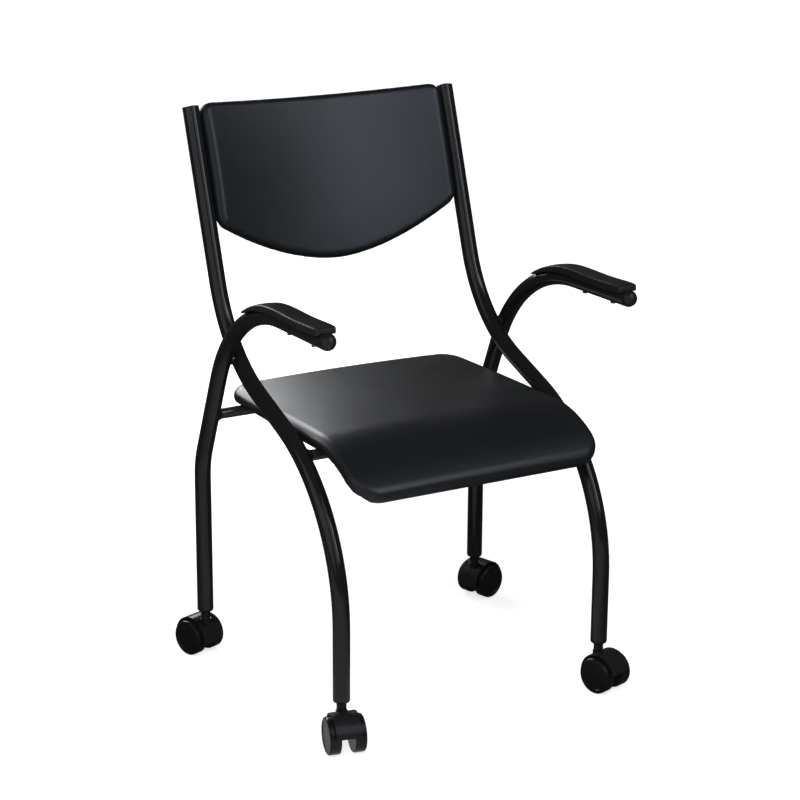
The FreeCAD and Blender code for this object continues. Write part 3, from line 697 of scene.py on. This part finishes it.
class Finish:
    """One material in the making: its tree, its shader and the groups placed in it."""

    def __init__(self, name, specular=0.5, metallic=0.0):
        self.material = bpy.data.materials.new(name)
        self.material.use_nodes = True
        self.tree = self.material.node_tree
        self.shader = self.tree.nodes["Principled BSDF"]
        self.shader.inputs["Specular IOR Level"].default_value = specular
        self.shader.inputs["Metallic"].default_value = metallic

    def group(self, name, **values):
        """Outputs of a shader group with its inputs set."""
        if name not in bpy.data.node_groups:
            GROUP_MAKERS[name]()
        feeds = {key.replace("_", " ").capitalize(): value for key, value in values.items()}
        return node(self.tree, "ShaderNodeGroup", feeds, node_tree=bpy.data.node_groups[name]).outputs

    def mixed(self, mask, low, high):
        """Colour that runs from low to high with the mask."""
        mix = node(self.tree, "ShaderNodeMix", data_type="RGBA")
        for key, value in (("A", low), ("B", high)):
            feed(self.tree, mix.inputs[key], value if hasattr(value, "is_output") else (*value, 1.0))
        feed(self.tree, mix.inputs["Factor"], mask)
        return mix.outputs["Result"]

    def weathered(self, base, patch_scale, speck_scale, speck_tint, wear, wear_tint):
        """Base colour with specks and worn edges, and the patches that change its sheen."""
        marks = self.group("Handling marks", patch_scale=patch_scale, speck_scale=speck_scale)
        body = self.mixed(marks["Specks"], base, tinted(base, speck_tint))
        worn = self.mixed(self.group("Edge wear", **wear)["Mask"], body, tinted(base, wear_tint))
        return worn, marks["Patches"]

    def dusted(self, body, dust, amount, patch_scale=40.0):
        mask = self.group("Settled dust", amount=amount, patch_scale=patch_scale)["Mask"]
        return self.mixed(mask, body, dust)

    def done(self, colour, roughness, *bumps):
        """Joins colour, roughness and a chain of bumps, each (height, depth in metres, strength)."""
        feed(self.tree, self.shader.inputs["Base Color"], colour)
        feed(self.tree, self.shader.inputs["Roughness"], roughness)
        normal = None
        for height, depth, strength in bumps:
            feeds = {"Distance": depth, "Strength": strength, "Height": height}
            if normal is not None:
                feeds["Normal"] = normal
            normal = node(self.tree, "ShaderNodeBump", feeds).outputs["Normal"]
        feed(self.tree, self.shader.inputs["Normal"], normal)
        return self.material

    def noise(self, scale, detail, roughness):
        return noise_node(self.tree, scale, detail, roughness)

    def ranged(self, value, low, high):
        return mapped(self.tree, value, 0.0, 1.0, low, high, "LINEAR")


def vinyl_finish(name, colours):
    """Soft vinyl: pebbled grain with painted shade in its creases, sheen that varies where it is sat on, a
    trace of dust.
    """
    made = Finish(name)
    grain = made.group("Pebble grain", cells_per_metre=820.0)
    marks = made.group("Handling marks", patch_scale=7.0, speck_scale=500.0)
    # Painted shade: the grain's creases take about half the vinyl's colour, and the cells a little more
    # than it.
    body = made.mixed(grain["Crease"], tinted(colours.vinyl, 1.1), tinted(colours.vinyl, 0.55))
    sheen = math_node(made.tree, "MULTIPLY_ADD", marks["Patches"], -0.04, 0.325)
    roughness = math_node(made.tree, "MULTIPLY_ADD", grain["Crease"], 0.06, sheen)
    stretch = made.noise(24.0, 3.0, 0.5)
    return made.done(
        made.dusted(body, colours.dust, 0.05), roughness,
        (stretch, 0.0008, 0.2), (grain["Height"], 0.00004, 0.5))


def coat_finish(name, colours):
    """Powder coat: orange peel, faint pinholes, rubbed thin on proud edges."""
    made = Finish(name)
    body, patches = made.weathered(colours.coating, 16.0, 900.0, 1.7, {"threshold": 0.60}, 3.0)
    return made.done(
        made.dusted(body, colours.dust, 0.04, 60.0), made.ranged(patches, 0.17, 0.13),
        (made.noise(520.0, 2.0, 0.5), 0.00005, 0.35))


def moulding_finish(name, colours):
    """Arm pads: spark-eroded mould texture, polished a little by hands along the top."""
    made = Finish(name)
    body, patches = made.weathered(colours.moulding, 22.0, 700.0, 2.2, {"threshold": 0.56}, 2.0)
    return made.done(
        made.dusted(body, colours.dust, 0.04, 90.0), made.ranged(patches, 0.50, 0.38),
        (made.noise(2200.0, 3.0, 0.7), 0.00006, 0.6))


def fitting_finish(name, colours):
    """Injection-moulded plugs and clips: near smooth, with a faint flow pattern."""
    made = Finish(name)
    body, patches = made.weathered(colours.fitting, 60.0, 1200.0, 1.6, {"threshold": 0.58}, 2.5)
    return made.done(
        body, made.ranged(patches, 0.40, 0.30), (made.noise(1800.0, 2.0, 0.6), 0.00003, 0.4))


def nylon_finish(name, colours):
    """Castor nylon: scuffed, with floor dust on it."""
    made = Finish(name, specular=0.36)
    wear = {"threshold": 0.55, "break_scale": 400.0}
    body, patches = made.weathered(colours.nylon, 90.0, 700.0, 2.0, wear, 2.5)
    return made.done(
        made.dusted(body, colours.dust, 0.015, 200.0), made.ranged(patches, 0.30, 0.20),
        (made.noise(1300.0, 3.0, 0.6), 0.00004, 0.5))


def board_finish(name, colours):
    """Black stained beech ply: long faint grain under a matt stain."""
    made = Finish(name, specular=0.4)
    squeeze = node(
        made.tree, "ShaderNodeMapping",
        {"Vector": object_place(made.tree), "Scale": (18.0, 220.0, 220.0)})
    grain = noise_node(made.tree, 1.0, 6.0, 0.65, squeeze.outputs[0])
    marks = made.group("Handling marks", patch_scale=12.0, speck_scale=600.0)
    return made.done(
        made.mixed(grain, tinted(colours.board, 0.6), tinted(colours.board, 1.9)),
        made.ranged(marks["Patches"], 0.62, 0.50), (grain, 0.00015, 0.5))


def zinc_finish(name, colours):
    """Bright zinc on the screws."""
    made = Finish(name, metallic=1.0)
    marks = made.group("Handling marks", patch_scale=200.0, speck_scale=1500.0)
    return made.done(
        made.mixed(marks["Patches"], tinted(colours.zinc, 0.75), colours.zinc),
        made.ranged(marks["Specks"], 0.32, 0.5), (made.noise(2200.0, 2.0, 0.5), 0.00003, 0.4))


STEEL_COLOURS = ((0.03, 0.03, 0.032), (0.055, 0.055, 0.06))


def steel_finish(name):
    """Blackened castor stems, axles and arm screws."""
    made = Finish(name, metallic=0.9)
    marks = made.group("Handling marks", patch_scale=150.0, speck_scale=1100.0)
    return made.done(
        made.mixed(marks["Patches"], *STEEL_COLOURS),
        made.ranged(marks["Patches"], 0.40, 0.28), (made.noise(2600.0, 2.0, 0.5), 0.00003, 0.4))


def finish_nodes(names, material):
    """Gives CAD nodes their finish in every material slot."""
    for name in names:
        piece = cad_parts[name]
        if not piece.material_slots:
            piece.data.materials.append(material)
        for held in piece.material_slots:
            held.material = material


# Operators, one for each group of pieces

class CoatFrame(bpy.types.Operator):
    """Powder coat on the tubes, rails, tabs and welds"""
    bl_idname = "chair.coat_frame"
    bl_label = "Coat frame"

    def execute(self, context):
        coat = coat_finish("black powder coat", sizes("finishes"))
        tubes = ["%s_leg_tube_%s" % (part, side) for part in ("back", "arm") for side in SIDES]
        others = ["front_rail", "rear_rail", "rail_welds", "crossing_welds", "backrest_tabs"]
        finish_nodes(tubes + others, coat)
        return {"FINISHED"}


class MouldFittings(bpy.types.Operator):
    """Plastic plugs, sockets, clips and rests"""
    bl_idname = "chair.mould_fittings"
    bl_label = "Mould fittings"

    def execute(self, context):
        plastic = fitting_finish("black fitting plastic", sizes("finishes"))
        parts = ("upright_cap", "arm_ball", "seat_hinge_clip", "seat_rest")
        names = ["%s_%s" % (part, side) for part in parts for side in SIDES]
        finish_nodes(names + ["castor_socket_" + place for place in PLACES], plastic)
        return {"FINISHED"}


class MouldArmPads(bpy.types.Operator):
    """Textured arm pads"""
    bl_idname = "chair.mould_arm_pads"
    bl_label = "Mould arm pads"

    def execute(self, context):
        moulded = moulding_finish("textured arm pad moulding", sizes("finishes"))
        finish_nodes(["arm_pad_" + side for side in SIDES], moulded)
        return {"FINISHED"}


class FitHardware(bpy.types.Operator):
    """Screws, tee nuts and boards"""
    bl_idname = "chair.fit_hardware"
    bl_label = "Fit hardware"

    def execute(self, context):
        colours = sizes("finishes")
        finish_nodes(
            ["seat_screws", "backrest_screws", "backrest_tee_nuts"], zinc_finish("bright zinc", colours))
        finish_nodes(["arm_pad_screws"], steel_finish("blackened screws"))
        finish_nodes(["seat_board", "backrest_board"], board_finish("black stained ply", colours))
        return {"FINISHED"}


class UpholsterSeat(bpy.types.Operator):
    """Seat pad with a rolled front, its vinyl stretched over foam"""
    bl_idname = "chair.upholster_seat"
    bl_label = "Upholster seat"

    def execute(self, context):
        size = sizes("seat")
        padding = sizes("cushion")

        def measure(point):
            return seat_measure(size, point)[1:]

        def upward(point):
            distance = seat_measure(size, point)[0]
            return seat_place(size, distance)[2]

        mesh = padded_mesh(
            "seat_pad", seat_rings(size, padding.start_inset), measure, upward, padding, size.board_inset)
        vinyl = vinyl_finish("seat vinyl", sizes("finishes"))
        pad = new_piece("seat_pad", mesh, "seat", vinyl)
        refine(pad)
        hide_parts("seat_cushion")
        return {"FINISHED"}


class UpholsterBackrest(bpy.types.Operator):
    """Curved backrest pad, its vinyl stretched over foam"""
    bl_idname = "chair.upholster_backrest"
    bl_label = "Upholster backrest"

    def execute(self, context):
        size = sizes("back")
        padding = sizes("cushion")

        def measure(point):
            return back_measure(size, point)

        def towards_sitter(point):
            return back_place(size, point.x)[1]

        mesh = padded_mesh(
            "backrest_pad", back_rings(size, padding.start_inset), measure, towards_sitter,
            padding, size.board_inset)
        mesh.transform(lean_matrix(size))
        vinyl = vinyl_finish("backrest vinyl", sizes("finishes"))
        pad = new_piece("backrest_pad", mesh, "frame", vinyl)
        refine(pad)
        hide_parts("backrest_cushion")
        return {"FINISHED"}


class FinishCastors(bpy.types.Operator):
    """Nylon hoods and wheels on blackened stems and axles"""
    bl_idname = "chair.finish_castors"
    bl_label = "Finish castors"

    def execute(self, context):
        colours = sizes("finishes")
        nylon = nylon_finish("castor nylon", colours)
        steel = steel_finish("blackened steel")
        for place in PLACES:
            finish_nodes(
                [part + place for part in ("castor_hood_", "castor_wheel_a_", "castor_wheel_b_")], nylon)
            finish_nodes(["castor_stem_" + place, "castor_axle_" + place], steel)
        return {"FINISHED"}


# Softboxes: azimuth from straight ahead of the sitter towards +X, elevation, distance, width,
# height, power, colour, and whether the finishes mirror them
SOFTBOXES = {
    "camera side fill": (-35.0, 30.0, 3.2, 1.8, 1.8, 95.0, (1.0, 1.0, 1.0), False),
    "camera side glow": (-68.0, 25.0, 3.0, 3.8, 2.2, 13.3, (1.0, 1.0, 1.0), True),
    "front softbox": (25.5, 33.0, 3.0, 0.42, 2.1, 12.5, (0.84, 0.93, 1.06), True),
    "front glow": (2.0, 33.0, 3.0, 1.3, 2.1, 6.5, (0.84, 0.93, 1.06), True),
    "rear softbox": (184.0, 21.0, 2.6, 2.2, 0.9, 42.0, (0.97, 0.99, 1.02), True),
    "high corner softbox": (48.0, 44.0, 2.6, 0.9, 0.4, 3.2, (0.88, 0.95, 1.05), True),
}
STAGE_MIDDLE = Vector((0.0, 0.0, 0.45))


def softbox(name, azimuth, elevation, distance, width, height, power, colour, mirrored):
    """Rectangular softbox at a direction from the chair, facing it."""
    turn = math.radians(azimuth)
    rise = math.radians(elevation)
    direction = Vector((
        math.sin(turn) * math.cos(rise), -math.cos(turn) * math.cos(rise), math.sin(rise)))
    lamp = bpy.data.lights.new(name, "AREA")
    lamp.shape = "RECTANGLE"
    lamp.size = width
    lamp.size_y = height
    lamp.energy = power
    lamp.color = colour
    holder = bpy.data.objects.new(name, lamp)
    holder.location = STAGE_MIDDLE + direction * distance
    holder.rotation_mode = "QUATERNION"
    holder.rotation_quaternion = (-direction).to_track_quat("-Z", "Y")
    holder.visible_camera = False
    holder.visible_glossy = mirrored
    bpy.context.scene.collection.objects.link(holder)


def seen_directly(tree):
    """One for the camera's own rays and those that pass through clear things, and zero for others."""
    path = node(tree, "ShaderNodeLightPath").outputs
    return math_node(tree, "MAXIMUM", path["Is Camera Ray"], path["Is Transmission Ray"])


def studio_world(size):
    """Plain white surround for the camera, softer in reflections, softer still as light."""
    world = bpy.data.worlds.new("studio")
    bpy.context.scene.world = world
    world.use_nodes = True
    tree = world.node_tree
    background = tree.nodes["Background"]
    background.inputs["Color"].default_value = (1.0, 1.0, 1.0, 1.0)
    glossy = node(tree, "ShaderNodeLightPath").outputs["Is Glossy Ray"]
    dim = math_node(tree, "MULTIPLY_ADD", glossy, size.mirrored - size.ambient, size.ambient)
    feed(tree, background.inputs["Strength"], math_node(tree, "MAXIMUM", seen_directly(tree), dim))


FLOOR_GREY = (0.62, 0.62, 0.62, 1.0)
FLOOR_ROUGHNESS = 0.9
FLOOR_CLEARANCE = 0.0005
SHADOW_FADE_START = 0.5
POOL_EDGE = 0.1


def studio_floor(size):
    """Wide pale floor that keeps the chair's shadow and fades into the white surround; in reflections it
    glows instead, brightest towards the camera, as a painted reflection.
    """
    half = size.floor_size / 2.0
    mesh = bpy.data.meshes.new("studio_floor")
    corners = [(-half, -half, 0.0), (half, -half, 0.0), (half, half, 0.0), (-half, half, 0.0)]
    mesh.from_pydata(corners, [], [(0, 1, 2, 3)])
    floor = bpy.data.objects.new("studio_floor", mesh)
    bpy.context.scene.collection.objects.link(floor)
    floor.location.z = -FLOOR_CLEARANCE
    paint = bpy.data.materials.new("pale studio floor")
    paint.use_nodes = True
    tree = paint.node_tree
    shader = tree.nodes["Principled BSDF"]
    shader.inputs["Base Color"].default_value = FLOOR_GREY
    shader.inputs["Roughness"].default_value = FLOOR_ROUGHNESS
    shader.inputs["Specular IOR Level"].default_value = 0.0
    place = object_place(tree)
    reach = vector_node(tree, "LENGTH", {0: place})["Value"]
    fade = mapped(
        tree, reach, SHADOW_FADE_START * size.shadow_reach, size.shadow_reach, size.floor_glow, 1.0)
    white = math_node(tree, "MULTIPLY", seen_directly(tree), fade)
    glow = node(tree, "ShaderNodeEmission", {"Strength": white}).outputs[0]
    lit = node(tree, "ShaderNodeAddShader", {0: shader.outputs[0], 1: glow}).outputs[0]
    # Painted reflection: for reflected rays the floor glows, brightest on the camera's side, so the legs
    # and castors mirror a bright pool.
    outward = vector_node(tree, "NORMALIZE", {0: place})[0]
    turn = (-math.sin(size.pool_turn), -math.cos(size.pool_turn), 0.0)
    ahead = vector_node(tree, "DOT_PRODUCT", {0: outward, 1: turn})["Value"]
    pool = mapped(tree, ahead, POOL_EDGE, 1.0, size.mirrored, size.pool)
    reflected = node(tree, "ShaderNodeEmission", {"Strength": pool}).outputs[0]
    glossy = node(tree, "ShaderNodeLightPath").outputs["Is Glossy Ray"]
    both = node(tree, "ShaderNodeMixShader", {0: glossy, 1: lit, 2: reflected}).outputs[0]
    feed(tree, tree.nodes["Material Output"].inputs["Surface"], both)
    mesh.materials.append(paint)


def studio_camera(size):
    """Camera at the photograph's viewing angle."""
    back = Vector((
        math.sin(size.azimuth) * math.cos(size.elevation),
        -math.cos(size.azimuth) * math.cos(size.elevation),
        math.sin(size.elevation)))
    level = Vector((math.cos(size.azimuth), math.sin(size.azimuth), 0.0))
    upright = back.cross(level)
    right = level * math.cos(size.roll) + upright * math.sin(size.roll)
    up = upright * math.cos(size.roll) - level * math.sin(size.roll)
    data = bpy.data.cameras.new("photograph view")
    data.sensor_width = 36.0
    data.lens = size.lens
    camera = bpy.data.objects.new("photograph view", data)
    bpy.context.scene.collection.objects.link(camera)
    turn = Matrix((right, up, back)).transposed().to_4x4()
    camera.matrix_world = Matrix.Translation(Vector(size.target) + back * size.distance) @ turn
    bpy.context.scene.camera = camera


class SetStage(bpy.types.Operator):
    """Camera, softboxes, pale floor and white surround"""
    bl_idname = "chair.set_stage"
    bl_label = "Set stage"

    def execute(self, context):
        size = sizes("studio")
        studio_camera(size)
        studio_world(size)
        studio_floor(size)
        for name, setting in SOFTBOXES.items():
            softbox(name, *setting)
        context.scene.view_settings.view_transform = "Standard"
        return {"FINISHED"}


class ChairPanel(bpy.types.Panel):
    """Sizes, colours and steps of the nesting chair"""
    bl_idname = "VIEW3D_PT_nesting_chair"
    bl_label = "Nesting chair"
    bl_space_type = "VIEW_3D"
    bl_region_type = "UI"
    bl_category = "Chair"

    def draw(self, context):
        layout = self.layout
        for step in STEPS:
            layout.operator(step.bl_idname)
        for name in ("seat", "back", "cushion", "finishes", "studio"):
            group = getattr(context.scene.nesting_chair, name)
            box = layout.box()
            box.label(text=name.capitalize())
            for key in group.bl_rna.properties.keys():
                if key not in ("rna_type", "name"):
                    box.prop(group, key)


class ChairSettings(bpy.types.PropertyGroup):
    seat: PointerProperty(type=SeatSizes, name="Seat", description="Sizes of the seat pad")
    back: PointerProperty(type=BackSizes, name="Backrest", description="Sizes of the backrest pad")
    cushion: PointerProperty(type=CushionSizes, name="Cushions", description="How the covers stretch")
    finishes: PointerProperty(type=Finishes, name="Finishes", description="Colours of the finishes")
    studio: PointerProperty(type=StudioSizes, name="Studio", description="Camera and light")


STEPS = (
    SetStage, CoatFrame, MouldFittings, MouldArmPads, FitHardware,
    UpholsterSeat, UpholsterBackrest, FinishCastors,
)
CLASSES = (SeatSizes, BackSizes, CushionSizes, Finishes, StudioSizes, ChairSettings) + STEPS + (ChairPanel,)


def register():
    for cls in CLASSES:
        bpy.utils.register_class(cls)
    bpy.types.Scene.nesting_chair = PointerProperty(
        type=ChairSettings, name="Nesting chair", description="Sizes and colours of the nesting chair")


def unregister():
    del bpy.types.Scene.nesting_chair
    for cls in reversed(CLASSES):
        bpy.utils.unregister_class(cls)


def main():
    register()
    for step in STEPS:
        family, action = step.bl_idname.split(".")
        getattr(getattr(bpy.ops, family), action)()


if __name__ == "__main__":
    main()
